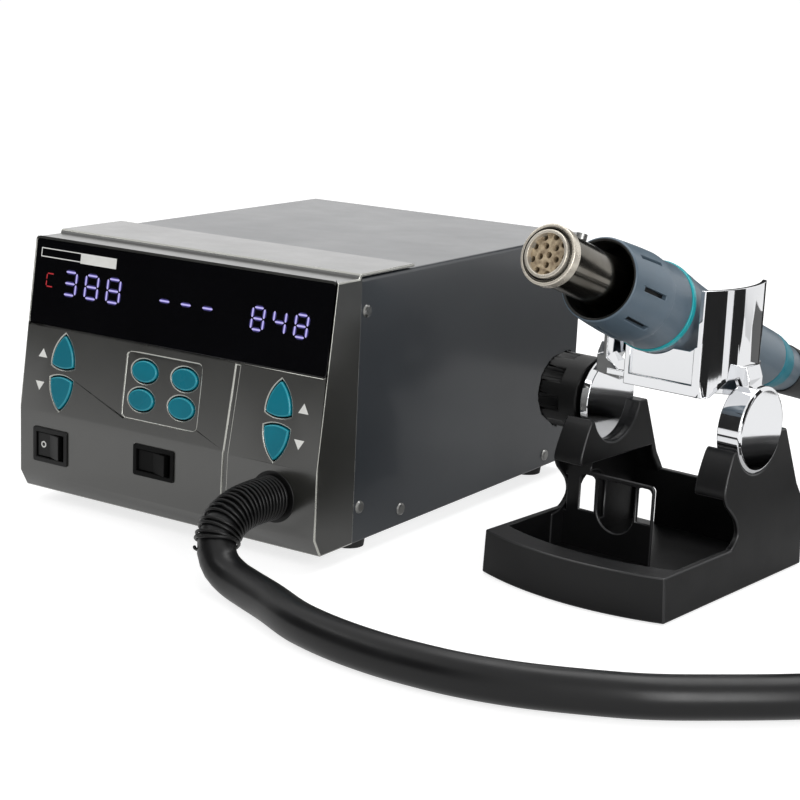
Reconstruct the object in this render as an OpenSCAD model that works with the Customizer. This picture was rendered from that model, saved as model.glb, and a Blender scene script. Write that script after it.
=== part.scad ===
// Hot air rework station: blower station, hose, gun and tilting gun stand.
// Units are millimetres. Z is up, the front looks towards -Y, X runs to the right.

/* [Station case] */
// Width of the metal case
case_w = 188; // [150:1:260]
// Height of the case without its feet
case_h = 130; // [100:1:180]
// Depth of the case, front face to rear panel
case_d = 254; // [200:1:320]
// Thickness of the sheet metal
sheet = 1.2; // [0.8:0.1:2]
// Height of the rubber feet
foot_h = 8; // [4:0.5:14]
// Radius of the rubber feet
foot_r = 9; // [6:0.5:14]

/* [Front bezel] */
// Depth of the moulded bezel
bezel_d = 32; // [26:1:45]
// Wall thickness of the bezel
bezel_wall = 2.6; // [2:0.1:4]
// How far the bezel stands out past the case at each side
bezel_lip = 0.5; // [0:0.1:2]
// Height of the ridge where the two front faces meet
ridge_z = 42; // [36:1:50]
// Lean of the upper front face, degrees
face_lean = 7.93; // [0:0.01:20]
// Length of the bezel strip that lies over the cover
strip_d = 45; // [20:1:60]
// Height of that strip above the cover
strip_h = 2.2; // [1.5:0.1:4]

/* [Display] */
// Lower edge of the window, measured up the upper face
window_s0 = 44.5; // [40:0.5:60]
// Strip of bezel left above the window
window_rim = 0.25; // [0.2:0.05:6]
// Thickness of the window
window_t = 1.4; // [1:0.1:1.8]

/* [Keys] */
// How far the key caps stand out
key_proud = 0.6; // [0.5:0.1:3]
// Gap between a key and its hole
key_gap = 0.6; // [0.15:0.05:0.8]
// Travel of a key
key_travel = 1; // [0.5:0.1:2]
// Length of a channel key
oval_w = 15.7; // [12:0.1:20]
// Height of a channel key
oval_h = 10.7; // [8:0.1:13]

/* [Hose] */
// Radius of the hose
hose_r = 9; // [7:0.5:12]
// Height of the hose port over the case underside
port_z = 26; // [20:1:34]
// Distance of the hose port in from the case side
port_in = 24.5; // [20:0.5:44]

/* [Stand] */
// Width of the stand base
stand_w = 101.7; // [90:0.1:120]
// Depth of the stand base
stand_d = 128; // [110:1:140]
// Height of the base rim
rim_h = 22; // [16:1:30]
// Place of the stand's front left corner across
stand_x = 152.7; // [140:0.1:200]
// Place of that corner in depth
stand_y = 56.9; // [20:0.1:100]
// Turn of the stand, degrees
stand_turn = 6.32; // [0:0.01:20]
// Inward lean of the sides, degrees
side_lean = 3; // [0:0.5:5]
// Depth position of the cradle pivot
pivot_y = 80.5; // [70:0.5:90]
// Height of the cradle pivot
pivot_z = 76; // [70:0.5:85]
// Radius of the cradle barrels
barrel_r = 21; // [16:0.5:24]

/* [Gun] */
// Elevation of the gun in the cradle, degrees
gun_pitch = 20; // [0:1:40]
// Depth position of the guard mouth in the stand frame
mouth_y = 6.2; // [0:0.1:20]
// Height of the guard mouth centre
mouth_z = 148.8; // [140:0.1:160]
// Radius of the heater tube
tube_r = 12.4; // [10:0.1:14]
// Length of the heater tube in front of the guard
tube_out = 43.8; // [20:0.1:60]

/* [Hidden] */
cw = case_w/2;
bw = cw + bezel_lip;
wall = bezel_wall;
face_top = (case_h - ridge_z)*tan(face_lean);
face_s = (case_h - ridge_z)/cos(face_lean);
window_s1 = face_s - window_rim;
window_mid = (window_s0 + window_s1)/2;
port_x = cw - port_in;
port_r = hose_r + 2.5;
// digit blocks: distance of the outer two in from the window's ends, height on the window
digit_l = 40.1;
digit_r = 30.6;
digit_s = window_mid + 0.35;
// key columns, rocker, grooves, bosses and brackets, each from the side of the case
key_l = 26.1 - cw;
key_r = cw - 25.2;
power_x = 21.2 - cw;
// base lines of the pointed keys up the upper face, stem place above or below them
up_l = 24.3;
down_l = 19.9;
up_r = 22.65;
down_r = 18.5;
stem_s = 7.5;
// centres of the channel keys
channel_at = [[-14.6, 31], [10.8, 31], [-15.1, 16.7], [10.4, 16.7]];
groove_x = cw - 52.6;
groove_low_x = cw - 54.2;
boss_x = cw - 8;
bracket_x = cw - 2.7;
screw_at = [[37, case_h - 16.2], [37, 17.5], [74, 8.2], [case_d - 31, 6.5]];
// key stem ends, and the buttons of the switches under them
stem_end = 8;
switch_top = 10.6;
button_h = switch_top - stem_end - key_travel - 0.2;
// floor sheet, its flanges and the rear panel inside the cover
in_x = cw - sheet - 0.1;
// blower drum between the middle and the case side, impeller inside it
blower_gap = 4;
blower_r = (cw - blower_gap)/2;
blower_x = blower_r;
blower_y = 160;
fan_r = blower_r - 5;
// power board and transformer fill the other half
board_l = 8 - cw;
board_r = -6;
core_l = 12 - cw;
core_r = -18;
inlet_x = 39 - cw;
// stand foot: bowed front, ledge behind it, inner panel, cheeks and arms
bow_r = 135;
bow_y = 125.2;
ledge_d = 14;
panel_y = 60;
panel_t = 1.5;
cheek_t = 4.4;
arm_w = 19.2;
arm_under = 47;
// along the pivot from the left: knob, washer, bearing plate, barrel
barrel_w = 12.4;
neck_in = 14.9;
knob_l = -17;
plate_x = 7.8;
washer_x = plate_x - 0.8;
barrel_x = plate_x + 2.45;
y_cover = bezel_d;
gun_x = stand_w/2;
pivot = [pivot_y, pivot_z];
screw_proud = 1.2;
window_half = bw - 0.9;
// the frame's origin is the middle of the footprint of everything but the hose
ct = cos(stand_turn);
st = sin(stand_turn);
boot_end = 228;
boot_end_r = 10.6;
x_lo = -cw - screw_proud;
x_hi = stand_x + stand_w*ct + stand_d*st;
y_lo = 4 - 9.6*sin(9) - 5.3*cos(9);
y_hi = stand_y - gun_x*st + (mouth_y + boot_end*cos(gun_pitch))*ct
    + boot_end_r*sqrt(st*st + pow(sin(gun_pitch)*ct, 2));
mid_x = (x_lo + x_hi)/2;
mid_y = (y_lo + y_hi)/2;

// a point of the stand frame in the station's frame
function from_stand(p) = [stand_x + p[0]*ct + p[1]*st, stand_y - p[0]*st + p[1]*ct, p[2]];
function unit(v) = v/norm(v);
// smooth curve through route points
function ext(p) = concat([2*p[0] - p[1]], p, [2*p[len(p) - 1] - p[len(p) - 2]]);
function cr(a, b, c, d, t) = 0.5*(2*b + (c - a)*t + (2*a - 5*b + 4*c - d)*t*t
    + (3*b - a - 3*c + d)*t*t*t);
function along(q, u) = let(i = min(floor(u), len(q) - 4))
    cr(q[i], q[i + 1], q[i + 2], q[i + 3], u - i);
function heading(q, u, top) = unit(along(q, min(top, u + 0.01)) - along(q, max(0, u - 0.01)));
function side_of(t) = unit(cross(t, [0, 0, 1]));

main_route = [[69.5, 12, 34], [69.5, 4, 34], [69.5, -4, 34.1], [69.5, -16, 34.2],
    [69.6, -28, 33], [70, -38.5, 28.5], [71.5, -44.5, 21], [76.5, -47.5, 14],
    [86, -50.5, 10.2], [98, -55, 9.2], [117, -63.5, 9.2], [140, -75, 9.2],
    [163, -81.5, 9.2], [186, -84.5, 9.2], [206, -84.5, 9.2], [226, -82.5, 9.2],
    [248, -77, 9.2], [270, -68, 9.2], [294, -55.5, 9.2], [318, -37, 9.2],
    [342, -16, 9.2], [362, 6, 9.2], [380, 34, 9.2], [393, 66, 9.2], [401, 100, 9.2],
    [405, 136, 9.2], [406.5, 172, 9.2], [406, 208, 9.2], [404, 240, 9.2],
    [400, 270, 9.2], [393.5, 298, 9.2], [383, 325, 9.2], [362, 348.5, 9.2]];
tail_route = [[gun_x, 192.26, 81.08], [gun_x, 206.35, 75.95], [gun_x, 220.45, 70.82],
    [gun_x, 236, 65.1], [51, 252, 58.2], [52.2, 268, 49.6], [55.5, 283, 39.6],
    [62, 297, 29], [72, 308.5, 19.6], [85, 317, 12.8], [99, 321.5, 9.8],
    [114, 323, 9.2], [125.6, 323, 9.2]];
split_a = from_stand([142, 323, 9.2]);
split_b = from_stand([126, 323, 9.2]);
main_q = ext(concat(main_route, [split_a, split_b]));
tail_q = ext(tail_route);

// a round tube swept along a smooth curve, closed at both ends
module swept(q, r, step, sides) {
    top = len(q) - 3;
    n = round(top/step);
    pts = [for (k = [0:n]) let(u = k*step, c = along(q, u), t = heading(q, u, top),
        a = side_of(t), b = cross(a, t)) for (j = [0:sides - 1])
        c + r*(cos(j*360/sides)*a + sin(j*360/sides)*b)];
    sidef = [for (k = [0:n - 1]) for (j = [0:sides - 1]) let(m = (j + 1)%sides)
        [k*sides + j, k*sides + m, (k + 1)*sides + m, (k + 1)*sides + j]];
    cap0 = [[for (j = [0:sides - 1]) sides - 1 - j]];
    cap1 = [[for (j = [0:sides - 1]) n*sides + j]];
    polyhedron(pts, concat(sidef, cap0, cap1), 4);
}

// placing helpers
module at_station() { translate([-mid_x, -mid_y, foot_h]) children(); }
module at_ground() { translate([-mid_x, -mid_y, 0]) children(); }
module at_stand() {
    translate([stand_x - mid_x, stand_y - mid_y, 0]) rotate([0, 0, -stand_turn]) children();
}
module at_gun() {
    at_stand() translate([gun_x, mouth_y, mouth_z]) rotate([-(90 + gun_pitch), 0, 0])
        children();
}
module in_gun() {
    translate([gun_x, mouth_y, mouth_z]) rotate([-(90 + gun_pitch), 0, 0]) children();
}
module at_face(x, s, out) {
    translate([x, 0, ridge_z]) rotate([-face_lean, 0, 0]) translate([0, 0, s])
        rotate([90, 0, 0]) translate([0, 0, out]) children();
}
module at_front(x, z, out) {
    translate([x, 0, z]) rotate([90, 0, 0]) translate([0, 0, out]) children();
}
module slab_x(x0, x1) { translate([x0, 0, 0]) rotate([90, 0, 90]) linear_extrude(x1 - x0) children(); }
module slab_y(y0, y1) { translate([0, y1, 0]) rotate([90, 0, 0]) linear_extrude(y1 - y0) children(); }
module rod_y(x, y0, y1, z, r) { translate([x, y0, z]) rotate([-90, 0, 0]) cylinder(h = y1 - y0, r = r, $fn = 48); }
module rod_x(x0, x1, y, z, r) { translate([x0, y, z]) rotate([0, 90, 0]) cylinder(h = x1 - x0, r = r, $fn = 48); }
module block(a, b) { translate(a) cube([b[0] - a[0], b[1] - a[1], b[2] - a[2]]); }
module mirrored() { translate([stand_w, 0, 0]) mirror([1, 0, 0]) children(); }
module round_rect(w, h, r) {
    square([w - 2*r, h], center = true);
    square([w, h - 2*r], center = true);
    for (i = [-1, 1]) for (j = [-1, 1]) translate([i*(w/2 - r), j*(h/2 - r)]) circle(r, $fn = 24);
}

// key outlines
module tear(g) {
    intersection() {
        translate([-12.36, 1.9]) circle(19.36 + g, $fn = 96);
        translate([12.36, 1.9]) circle(19.36 + g, $fn = 96);
        translate([0, 17]) circle(17 + g, $fn = 96);
    }
}
module oval(g) {
    polygon([for (i = [0:35]) [(oval_w/2 + g)*cos(i*10), (oval_h/2 + g)*sin(i*10)]]);
}
module tear_key(x, s, flip) {
    at_station() at_face(x, s, 0) rotate([0, 0, flip]) {
        translate([0, 0, -3.2]) linear_extrude(3.2 + key_proud) tear(0);
        translate([-10, 3, -3.9]) cube([20, 9, 1.2]);
        translate([0, stem_s, -stem_end]) cylinder(h = stem_end - 3, r = 2, $fn = 32);
    }
}
module oval_key(k) {
    at_station() at_face(channel_at[k][0], channel_at[k][1], 0) {
        translate([0, 0, -3.2]) linear_extrude(3 + key_proud - 0.2) oval(0);
        translate([-9.6, -3, -3.9]) cube([19.2, 6, 1.2]);
        translate([0, 0, -stem_end]) cylinder(h = stem_end - 3, r = 2, $fn = 32);
    }
}
module tear_hole(x, s, flip) {
    at_face(x, s, -8) rotate([0, 0, flip]) linear_extrude(12) tear(key_gap);
}

// front moulding with its window recess, key holes and raised top strip
module front_bezel() color([0.3, 0.3, 0.28]) at_station() difference() {
    union() {
        difference() {
            slab_x(-bw, bw) polygon([[y_cover, 0], [5, 0], [0, 9], [0, ridge_z],
                [face_top, case_h], [y_cover, case_h]]);
            slab_x(-bw + wall, bw - wall) polygon([[y_cover + 1, wall], [6.4, wall],
                [wall, 9.6], [wall, ridge_z + 0.2], [face_top + wall - 0.35, case_h - wall],
                [y_cover + 1, case_h - wall]]);
        }
        slab_x(-bw, bw) polygon([[y_cover - 3, case_h - 1], [y_cover - 1.5, case_h + strip_h],
            [y_cover + strip_d, case_h + strip_h], [y_cover + strip_d, case_h + 0.6],
            [y_cover - 0.2, case_h + 0.6], [y_cover - 0.2, case_h - 1]]);
        for (i = [-1, 1]) for (z = [screw_at[1][1], screw_at[0][1]])
            block([i*bracket_x - 1.4, 26, z - 6], [i*bracket_x + 1.4, 44, z + 6]);
        for (i = [-1, 1]) for (s = [7, face_s - 8.85]) at_face(i*boss_x, s, -14) cylinder(h = 12.4, r = 3, $fn = 32);
    }
    at_face(0, window_mid, -window_t) linear_extrude(4)
        round_rect(2*window_half + 0.3, window_s1 - window_s0 + 0.3, 2.5);
    at_face(digit_l - window_half, digit_s, -6) linear_extrude(8) square([43, 21], center = true);
    at_face(6.7, digit_s, -6) linear_extrude(8) square([33, 16], center = true);
    at_face(window_half - digit_r, digit_s - 0.8, -6) linear_extrude(8)
        square([43, 21], center = true);
    tear_hole(key_l, up_l, 0);
    tear_hole(key_l, down_l, 180);
    tear_hole(key_r, up_r, 0);
    tear_hole(key_r, down_r, 180);
    at_face(-2.5, 23.3, -0.5) linear_extrude(2) round_rect(47, 32.5, 2.5);
    for (p = channel_at) at_face(p[0], p[1], -8) linear_extrude(12) oval(key_gap);
    at_face(groove_x, 21.4, -0.6) rotate([0, 0, -2.6]) translate([-1, -22, 0]) cube([2, 43.4, 2]);
    at_front(groove_low_x, 25, -0.6) rotate([0, 0, -1.8]) translate([-1, -16.4, 0]) cube([2, 34, 2]);
    at_front(power_x, 25.15, -6) linear_extrude(8) square([21.3, 16.3], center = true);
    at_front(-3.9, 29, -6) linear_extrude(8) square([23.9, 14.3], center = true);
    rod_y(port_x, -2, 8, port_z, port_r);
    for (i = [-1, 1]) for (p = [screw_at[0], screw_at[1]])
        rod_x(i*bracket_x - 3, i*bracket_x + 3, p[0], p[1], 1.6);
}

module display_window() color([0.02, 0.02, 0.025]) at_station()
    at_face(0, window_mid, -window_t) linear_extrude(window_t)
        round_rect(2*window_half, window_s1 - window_s0, 2.4);

module display_modules() color([0.1, 0.1, 0.11]) at_station() {
    h = 13.9 - window_t;
    at_face(digit_l - window_half, digit_s, -14) linear_extrude(h) square([40, 18], center = true);
    at_face(6.7, digit_s, -14) linear_extrude(h) square([30, 13], center = true);
    at_face(window_half - digit_r, digit_s - 0.8, -14) linear_extrude(h)
        square([40, 18], center = true);
}

// printed board behind the keys, with eight push switches
module control_board() color([0.05, 0.3, 0.15]) at_station() {
    at_face(0, (face_s - 0.85)/2, -15.6) linear_extrude(1.6)
        square([2*(bw - wall) - 4.8, face_s - 4.85], center = true);
    for (p = concat([[key_l, up_l + stem_s], [key_l, down_l - stem_s],
        [key_r, up_r + stem_s], [key_r, down_r - stem_s]], channel_at)) {
        at_face(p[0], p[1], -14) linear_extrude(14 - switch_top + 0.1) square([6, 6], center = true);
        at_face(p[0], p[1], -switch_top) cylinder(h = button_h, r = 1.6, $fn = 24);
    }
    at_face(-20, 62, -21.6) linear_extrude(6) square([24, 12], center = true);
}

module temp_up_key() color([0.1, 0.5, 0.56]) tear_key(key_l, up_l, 0);
module temp_down_key() color([0.1, 0.5, 0.56]) tear_key(key_l, down_l, 180);
module air_up_key() color([0.1, 0.5, 0.56]) tear_key(key_r, up_r, 0);
module air_down_key() color([0.1, 0.5, 0.56]) tear_key(key_r, down_r, 180);
module channel_1_key() color([0.1, 0.5, 0.56]) oval_key(0);
module channel_2_key() color([0.1, 0.5, 0.56]) oval_key(1);
module channel_3_key() color([0.1, 0.5, 0.56]) oval_key(2);
module channel_4_key() color([0.1, 0.5, 0.56]) oval_key(3);

// frame of a rocker: flange outside, box through the wall, axle holes above and below
module rocker_frame(x, z, fw, fh, bx, bz, ow, oz) at_station() at_front(x, z, 0) difference() {
    union() {
        linear_extrude(1) round_rect(fw, fh, 1.2);
        translate([0, 0, -14]) linear_extrude(14.5) square([bx, bz], center = true);
    }
    translate([0, 0, -12]) linear_extrude(14) square([ow, oz], center = true);
    translate([0, 8, -4]) rotate([90, 0, 0]) cylinder(h = 16, r = 1.26, $fn = 32);
}
module rocker_cap(x, z, l, h) at_station() at_front(x, z, -4) {
    translate([0, h/2, 0]) rotate([90, 0, 0]) rotate([0, 0, 9])
        linear_extrude(h) polygon([[-l, 5.3], [0, 4], [l, 5.3], [l - 1.7, -1], [1.7 - l, -1]]);
    translate([0, h/2 + 0.9, 0]) rotate([90, 0, 0]) cylinder(h = h + 1.8, r = 1.2, $fn = 32);
}
module power_switch_frame() color([0.05, 0.05, 0.05])
    rocker_frame(power_x, 25.15, 23.2, 18.3, 21, 16, 18.7, 13.2);
module power_rocker() color([0.05, 0.05, 0.05]) rocker_cap(power_x, 25.15, 8.2, 12.6);
module set_switch_frame() color([0.05, 0.05, 0.05])
    rocker_frame(-3.9, 29, 25.8, 16, 23.6, 14, 21.6, 11.2);
module set_rocker() color([0.05, 0.05, 0.05]) rocker_cap(-3.9, 29, 9.6, 10.6);

// folded sheet cover, open below and at both ends
module top_cover() color([0.26, 0.28, 0.3]) at_station() difference() {
    slab_y(y_cover, case_d) union() {
        translate([0, case_h/2]) round_rect(case_w, case_h, 2);
        translate([-cw, 0]) square([case_w, 20]);
    }
    slab_y(y_cover - 1, case_d + 1) union() {
        translate([0, case_h/2]) round_rect(case_w - 2*sheet, case_h - 2*sheet, 0.9);
        translate([-cw + sheet, -1]) square([case_w - 2*sheet, 20]);
    }
    for (i = [-1, 1]) for (p = screw_at)
        rod_x(i*cw - 3, i*cw + 3, p[0], p[1], 1.7);
}

module base_chassis() color([0.62, 0.63, 0.64]) at_station() difference() {
    union() {
        block([-in_x, y_cover + 0.1, 0], [in_x, case_d - 1.6, sheet]);
        for (i = [-1, 1]) block([i*(in_x - 0.6) - 0.6, 50, 0], [i*(in_x - 0.6) + 0.6, case_d - 4, 15]);
    }
    for (i = [-1, 1]) for (p = [screw_at[2], screw_at[3]])
        rod_x(i*(in_x - 0.6) - 3, i*(in_x - 0.6) + 3, p[0], p[1], 1.6);
    for (k = [0:6]) block([34 - cw + k*8, case_d - 64, -1], [38 - cw + k*8, case_d - 29, 3]);
}

// rear wall of the case with air slots and the mains socket cut-out
module rear_panel() color([0.62, 0.63, 0.64]) at_station() difference() {
    slab_y(case_d - 1.5, case_d) polygon([[-in_x, 0.1], [in_x, 0.1], [in_x, case_h - sheet - 1],
        [in_x - 0.9, case_h - sheet - 0.1], [0.9 - in_x, case_h - sheet - 0.1],
        [-in_x, case_h - sheet - 1]]);
    for (k = [0:floor((cw - 31)/7)]) block([12 + k*7, case_d - 4, 40], [16 + k*7, case_d + 2, case_h - 38]);
    block([inlet_x - 13.7, case_d - 4, 26.7], [inlet_x + 13.7, case_d + 2, 47.3]);
}

module mains_inlet() color([0.04, 0.04, 0.04]) at_station() {
    difference() {
        union() {
            block([inlet_x - 18, case_d, 23], [inlet_x + 18, case_d + 3, 51]);
            block([inlet_x - 13.5, case_d - 22, 27], [inlet_x + 13.5, case_d + 1, 47]);
        }
        block([inlet_x - 12, case_d - 16, 29], [inlet_x + 12, case_d + 4, 45]);
    }
    for (p = [[-6, 35], [0, 39], [6, 35]])
        block([inlet_x + p[0] - 1, case_d - 17, p[1] - 2], [inlet_x + p[0] + 1, case_d - 2, p[1] + 2]);
}

module rubber_feet() color([0.06, 0.06, 0.06]) at_station()
    for (i = [-1, 1]) for (y = [52, case_d - 22]) translate([i*(cw - 16), y, -foot_h])
        rotate_extrude($fn = 64) polygon([[0, 0], [foot_r - 1, 0], [foot_r, foot_h], [0, foot_h]]);

module cover_screws() color([0.2, 0.21, 0.22]) at_station()
    for (i = [-1, 1]) for (p = screw_at)
        translate([i*cw, p[0], p[1]]) rotate([0, i*90, 0]) rotate_extrude($fn = 48)
            polygon([[0, -4], [1.5, -4], [1.5, 0], [3.2, 0], [2.9, 0.8], [2.2, screw_proud],
                [0, screw_proud]]);

// blower: spiral-free drum with a spout to the hose duct
module blower_housing() color([0.12, 0.12, 0.13]) at_station() difference() {
    union() {
        translate([blower_x, blower_y, 6]) cylinder(h = 38, r = blower_r, $fn = 96);
        rod_y(port_x, 100, blower_y - 28, port_z, hose_r + 3);
        for (a = [45:90:315]) translate([blower_x + (blower_r - 9)*cos(a),
            blower_y + (blower_r - 9)*sin(a), sheet]) cylinder(h = 6, r = 4, $fn = 32);
    }
    translate([blower_x, blower_y, 8]) cylinder(h = 40, r = blower_r - 2, $fn = 96);
    rod_y(port_x, 99, blower_y - 20, port_z, hose_r + 1.1);
}
module blower_cover() color([0.12, 0.12, 0.13]) at_station()
    translate([blower_x, blower_y, 44]) difference() {
        cylinder(h = 2, r = blower_r, $fn = 96);
        translate([0, 0, -1]) cylinder(h = 4, r = 17, $fn = 64);
    }
module blower_impeller() color([0.75, 0.75, 0.72]) at_station()
    translate([blower_x, blower_y, 0]) {
    difference() {
        union() {
            translate([0, 0, 10]) cylinder(h = 1.6, r = fan_r, $fn = 96);
            translate([0, 0, 10]) cylinder(h = 26, r = 13, $fn = 64);
        }
        translate([0, 0, 9]) cylinder(h = 23, r = 11, $fn = 64);
        translate([0, 0, 8]) cylinder(h = 30, r = 1.55, $fn = 32);
    }
    for (k = [0:10]) rotate([0, 0, k*360/11]) translate([0, 0, 11]) linear_extrude(27)
        polygon(concat([for (i = [0:6]) let(r = 12.4 + i*(fan_r - 13)/6, a = -i*6.5)
            [r*cos(a) - 0.6*sin(a), r*sin(a) + 0.6*cos(a)]],
            [for (i = [6:-1:0]) let(r = 12.4 + i*(fan_r - 13)/6, a = -i*6.5)
            [r*cos(a) + 0.6*sin(a), r*sin(a) - 0.6*cos(a)]]));
}
module blower_motor() color([0.7, 0.55, 0.3]) at_station()
    translate([blower_x, blower_y, 8]) {
    cylinder(h = 1.4, r = 12, $fn = 64);
    cylinder(h = 5, r = 5, $fn = 48);
    translate([0, 0, 4]) cylinder(h = 16, r = 9.5, $fn = 64);
    cylinder(h = 26, r = 1.5, $fn = 32);
}
// air duct from the blower spout to the back of the hose gland
module air_duct() color([0.2, 0.2, 0.21]) at_station() difference() {
    rod_y(port_x, 12, 116, port_z, hose_r + 1);
    rod_y(port_x, 11, 117, port_z, hose_r - 1);
}
module power_board() color([0.05, 0.3, 0.15]) at_station() {
    block([board_l, 52, 9.2], [board_r, 132, 10.8]);
    for (x = [board_l + 6, board_r - 6]) for (y = [58, 126]) translate([x, y, sheet]) cylinder(h = 8.2, r = 3, $fn = 32);
    translate([board_l + 18, 75, 10.6]) cylinder(h = 30, r = 9, $fn = 48);
    translate([board_l + 40, 72, 10.6]) cylinder(h = 24, r = 7, $fn = 48);
    block([board_r - 24, 60, 10.6], [board_r - 4, 75, 26]);
    block([board_l + 6, 104, 10.6], [board_l + 46, 108, 45]);
    for (k = [0:4]) block([board_l + 8 + k*8, 107, 10.6], [board_l + 10 + k*8, 118, 45]);
    block([board_r - 26, 90, 10.6], [board_r - 8, 112, 22]);
}
module transformer() color([0.3, 0.3, 0.32]) at_station() {
    block([core_l, 150, sheet], [core_r, 200, sheet + 2]);
    block([core_l + 4, 155, sheet + 2], [core_r - 4, 195, 52]);
    block([core_l + 12, 146, 14], [core_r - 12, 204, 44]);
}

// gland that holds the hose in the front wall
module hose_gland() color([0.06, 0.06, 0.06]) at_station() translate([port_x, 0, port_z])
    rotate([-90, 0, 0]) rotate_extrude($fn = 64) polygon([[hose_r + 0.1, -0.6],
        [port_r + 1.1, -0.6], [port_r + 1.1, 0], [port_r - 0.2, 0], [port_r - 0.2, wall + 0.1],
        [port_r + 2.5, wall + 0.1], [port_r + 2.5, wall + 3.1], [port_r - 0.2, wall + 3.1],
        [port_r - 0.2, 9], [hose_r + 0.1, 9]]);

// wire coil that keeps the hose from kinking at the port
module bend_spring() color([0.03, 0.03, 0.03]) at_ground() {
    turns = 20;
    per = 20;
    sides = 6;
    n = turns*per;
    u0 = 1.74;
    du = (6.05 - u0)/n;
    mids = [for (k = [0:n]) let(u = u0 + k*du, t = heading(main_q, u, 30), a = side_of(t),
        b = cross(a, t)) along(main_q, u) + (hose_r + 1.05)*(cos(k*360/per)*a + sin(k*360/per)*b)];
    dirs = [for (k = [0:n]) unit(mids[min(n, k + 1)] - mids[max(0, k - 1)])];
    pts = [for (k = [0:n]) let(u = u0 + k*du, t = heading(main_q, u, 30), a = side_of(t),
        b = cross(a, t), o = cos(k*360/per)*a + sin(k*360/per)*b, w = unit(cross(dirs[k], o)))
        for (j = [0:sides - 1]) mids[k] + 0.8*(cos(j*60)*unit(cross(w, dirs[k])) + sin(j*60)*w)];
    sidef = [for (k = [0:n - 1]) for (j = [0:sides - 1]) let(m = (j + 1)%sides)
        [k*sides + j, (k + 1)*sides + j, (k + 1)*sides + m, k*sides + m]];
    cap0 = [[for (j = [0:sides - 1]) j]];
    cap1 = [[for (j = [0:sides - 1]) n*sides + sides - 1 - j]];
    polyhedron(pts, concat(sidef, cap0, cap1), 4);
}
module hose_main() color([0.03, 0.03, 0.03]) at_ground() swept(main_q, hose_r, 0.5, 10);
module hose_tail() color([0.03, 0.03, 0.03]) at_stand() swept(tail_q, hose_r, 0.5, 10);

// stand base: hollow foot with a bowed front ledge, two arms with half-round saddles,
// rear wall and inner panel with nozzle windows
module bowed_plan(x0, x1, r, back) polygon(concat([[x0, back]],
    [for (i = [0:16]) let(x = x0 + i*(x1 - x0)/16) [x, bow_y - sqrt(r*r - pow(x - gun_x, 2))]],
    [[x1, back]]));
module lean_envelope() {
    k = tan(side_lean);
    slab_y(-20, stand_d + 12) polygon([[0, 0.6], [stand_w, 0.6], [stand_w - k*119.4, 120],
        [k*119.4, 120]]);
}
// side outline of an arm: waisted front edge in one smooth sweep, straight raked back
module arm_profile() {
    q = ext([[50, 20], [57.5, 21.5], [62.3, 24.5], [64.8, 29], [62.6, 35], [57.5, 40.2],
        [53, 44.4], [51, 49.5], [52.3, 55], [55, 61.5], [57.6, 66.5], [59.5, 68.8]]);
    polygon(concat([[60, 2], [50, 2]], [for (u = [0:0.34:10.9]) along(q, u)],
        [[59.5, 68.8], [pivot_y, 68.8], [pivot_y, 72.5], [108, 72.5], [stand_d - 7, 43],
        [stand_d - 2, 36], [stand_d, 33], [stand_d, 2]]));
}
module arm_body() difference() {
    slab_x(stand_w - arm_w, stand_w) arm_profile();
    rod_x(stand_w - 30, stand_w + 10, pivot_y, pivot_z, barrel_r + 0.05);
    slab_x(stand_w - 20, stand_w - cheek_t) polygon([[40, -1], [stand_d - 3.5, -1],
        [stand_d - 3.5, 31], [stand_d - 11, 41], [stand_d - 13, arm_under], [40, arm_under]]);
    slab_x(stand_w - 16.2, stand_w - 6.4) polygon([[62, arm_under - 1], [113, arm_under - 1],
        [109, arm_under + 4.5], [62, arm_under + 4.5]]);
}
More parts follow.
